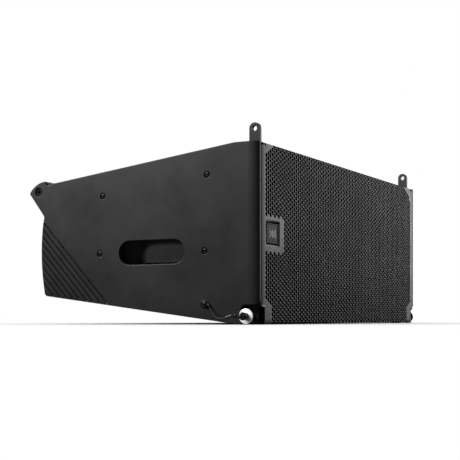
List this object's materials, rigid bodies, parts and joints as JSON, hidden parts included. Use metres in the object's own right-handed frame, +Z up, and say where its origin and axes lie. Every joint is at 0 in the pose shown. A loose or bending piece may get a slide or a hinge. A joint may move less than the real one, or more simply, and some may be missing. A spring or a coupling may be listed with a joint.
{
  "type": "line array loudspeaker",
  "caption": "Wedge-shaped powered line array loudspeaker with a perforated front grille, ribbed side panels, hand pockets, sliding front links, rear arms and quick-release pins.",
  "frame": {"origin": "middle of the outer box at the level of the base; X and Y are centred on the cabinet without its pin lanyards", "axes": "+X to the right as seen from the front, -Y out of the front grille, +Z up, with the front face upright"},
  "size_m": [0.8182, 0.445, 0.3205],
  "materials": {
    "cabinet_paint": "textured black paint on plywood",
    "baffle_wood": "black paint on plywood",
    "port_plastic": "moulded tube",
    "grille_steel": "black powder coat, perforated",
    "foam": "open-cell foam",
    "badge": "satin, blank",
    "black_screws": "black oxide",
    "side_plastic": "satin black, fine moulded texture",
    "rib_plastic": "satin black ribs",
    "cup_plastic": "satin black",
    "rigging_paint": "black powder coat on steel",
    "pin_steel": "bright steel",
    "button_steel": "dark steel",
    "wire": "black-coated steel wire rope",
    "lug_steel": "blackened steel",
    "horn_plastic": "moulded horn",
    "driver_paint": "black paint on steel and ferrite",
    "diaphragm": "thin metal dome",
    "panel_paint": "fine black texture on aluminium",
    "sink_aluminium": "black anodised fins",
    "circuit": "circuit board and parts",
    "display_glass": "dark window",
    "shaft_steel": "turned",
    "knob_rubber": "soft-touch, ribbed",
    "switch_plastic": "glossy black",
    "socket_plastic": "satin black shell",
    "mains_plastic": "light grey and blue keyed shell",
    "basket_aluminium": "black cast frame",
    "cone_paper": "coated paper",
    "surround_rubber": "half-roll",
    "spider_cloth": "resin-dipped cloth",
    "coil_aluminium": "wound former",
    "motor_steel": "zinc-black steel",
    "ferrite": "ferrite ring"
  },
  "bodies": {
    "cabinet": {"amp_board": "circuit", "amp_panel": "panel_paint", "badge_plate": "badge", "cabinet_shell": "cabinet_paint", "display_window": "display_glass", "front_baffle": "baffle_wood", "grille": "grille_steel", "grille_foam": "foam", "handle_cup_left": "cup_plastic", "handle_cup_right": "cup_plastic", "heat_sink": "sink_aluminium", "hf_motor_lower": "driver_paint", "hf_motor_upper": "driver_paint", "hf_waveguide": "horn_plastic", "lanyard_left": "wire", "lanyard_lugs": "lug_steel", "lanyard_right": "wire", "mains_sockets": "mains_plastic", "panel_screws": "black_screws", "port_tubes": "port_plastic", "power_supply": "circuit", "rear_bolts": "black_screws", "rib_corner_left": "rib_plastic", "rib_corner_right": "rib_plastic", "rigging_frame_left": "rigging_paint", "rigging_frame_right": "rigging_paint", "side_panel_left": "side_plastic", "side_panel_right": "side_plastic", "signal_sockets": "socket_plastic", "woofer_basket_left": "basket_aluminium", "woofer_basket_right": "basket_aluminium", "woofer_magnet_left": "ferrite", "woofer_magnet_right": "ferrite", "woofer_plate_left": "motor_steel", "woofer_plate_right": "motor_steel", "woofer_screws": "black_screws", "woofer_spider_left": "spider_cloth", "woofer_spider_right": "spider_cloth", "woofer_surround_left": "surround_rubber", "woofer_surround_right": "surround_rubber", "woofer_yoke_left": "motor_steel", "woofer_yoke_right": "motor_steel"},
    "link_left": {"front_link_left": "rigging_paint"},
    "pin_left": {"release_pin_left": "pin_steel"},
    "button_left": {"pin_button_left": "button_steel"},
    "arm_left": {"rear_arm_left": "rigging_paint"},
    "cone_left": {"woofer_cone_left": "cone_paper", "voice_coil_left": "coil_aluminium"},
    "link_right": {"front_link_right": "rigging_paint"},
    "pin_right": {"release_pin_right": "pin_steel"},
    "button_right": {"pin_button_right": "button_steel"},
    "arm_right": {"rear_arm_right": "rigging_paint"},
    "cone_right": {"woofer_cone_right": "cone_paper", "voice_coil_right": "coil_aluminium"},
    "diaphragm_upper": {"hf_diaphragm_upper": "diaphragm"},
    "diaphragm_lower": {"hf_diaphragm_lower": "diaphragm"},
    "encoder": {"encoder_knob": "knob_rubber", "encoder_shaft": "shaft_steel"},
    "rocker": {"power_switch": "switch_plastic"},
    "latch": {"socket_latch": "switch_plastic"}
  },
  "joints": [
    {"name": "link_slide_left", "type": "slide", "parent": "cabinet", "child": "link_left", "axis": [0, 0, 1], "range_m": [-0.0325, 0]},
    {"name": "pin_pull_left", "type": "slide", "parent": "cabinet", "child": "pin_left", "axis": [-1, 0, 0], "range_m": [0, 0.016], "deforming": ["lanyard_left"]},
    {"name": "button_press_left", "type": "slide", "parent": "pin_left", "child": "button_left", "axis": [1, 0, 0], "range_m": [0, 0.0022], "stiffness_N_per_m": 400},
    {"name": "arm_swing_left", "type": "hinge", "parent": "cabinet", "child": "arm_left", "pos_m": [-0.35475, 0.20389, 0.2292], "axis": [1, 0, 0], "range_deg": [0, 220]},
    {"name": "cone_travel_left", "type": "slide", "parent": "cabinet", "child": "cone_left", "axis": [0, 1, 0], "range_m": [-0.006, 0.006], "stiffness_N_per_m": 1500, "deforming": ["woofer_surround_left", "woofer_spider_left"]},
    {"name": "link_slide_right", "type": "slide", "parent": "cabinet", "child": "link_right", "axis": [0, 0, 1], "range_m": [-0.0325, 0]},
    {"name": "pin_pull_right", "type": "slide", "parent": "cabinet", "child": "pin_right", "axis": [1, 0, 0], "range_m": [0, 0.016], "deforming": ["lanyard_right"]},
    {"name": "button_press_right", "type": "slide", "parent": "pin_right", "child": "button_right", "axis": [-1, 0, 0], "range_m": [0, 0.0022], "stiffness_N_per_m": 400},
    {"name": "arm_swing_right", "type": "hinge", "parent": "cabinet", "child": "arm_right", "pos_m": [0.35475, 0.20389, 0.2292], "axis": [1, 0, 0], "range_deg": [0, 220]},
    {"name": "cone_travel_right", "type": "slide", "parent": "cabinet", "child": "cone_right", "axis": [0, 1, 0], "range_m": [-0.006, 0.006], "stiffness_N_per_m": 1500, "deforming": ["woofer_surround_right", "woofer_spider_right"]},
    {"name": "diaphragm_travel_upper", "type": "slide", "parent": "cabinet", "child": "diaphragm_upper", "axis": [0, 1, 0], "range_m": [-0.0003, 0.0003], "stiffness_N_per_m": 400},
    {"name": "diaphragm_travel_lower", "type": "slide", "parent": "cabinet", "child": "diaphragm_lower", "axis": [0, 1, 0], "range_m": [-0.0003, 0.0003], "stiffness_N_per_m": 400},
    {"name": "encoder_turn", "type": "hinge", "parent": "cabinet", "child": "encoder", "pos_m": [0.114, 0.17749, 0.162], "axis": [0, 1, 0], "continuous": true},
    {"name": "rocker_tilt", "type": "hinge", "parent": "cabinet", "child": "rocker", "pos_m": [-0.11, 0.16949, 0.198], "axis": [1, 0, 0], "range_deg": [0, 12]},
    {"name": "latch_press", "type": "slide", "parent": "cabinet", "child": "latch", "axis": [0, -1, 0], "range_m": [0, 0.0012], "stiffness_N_per_m": 300}
  ]
}
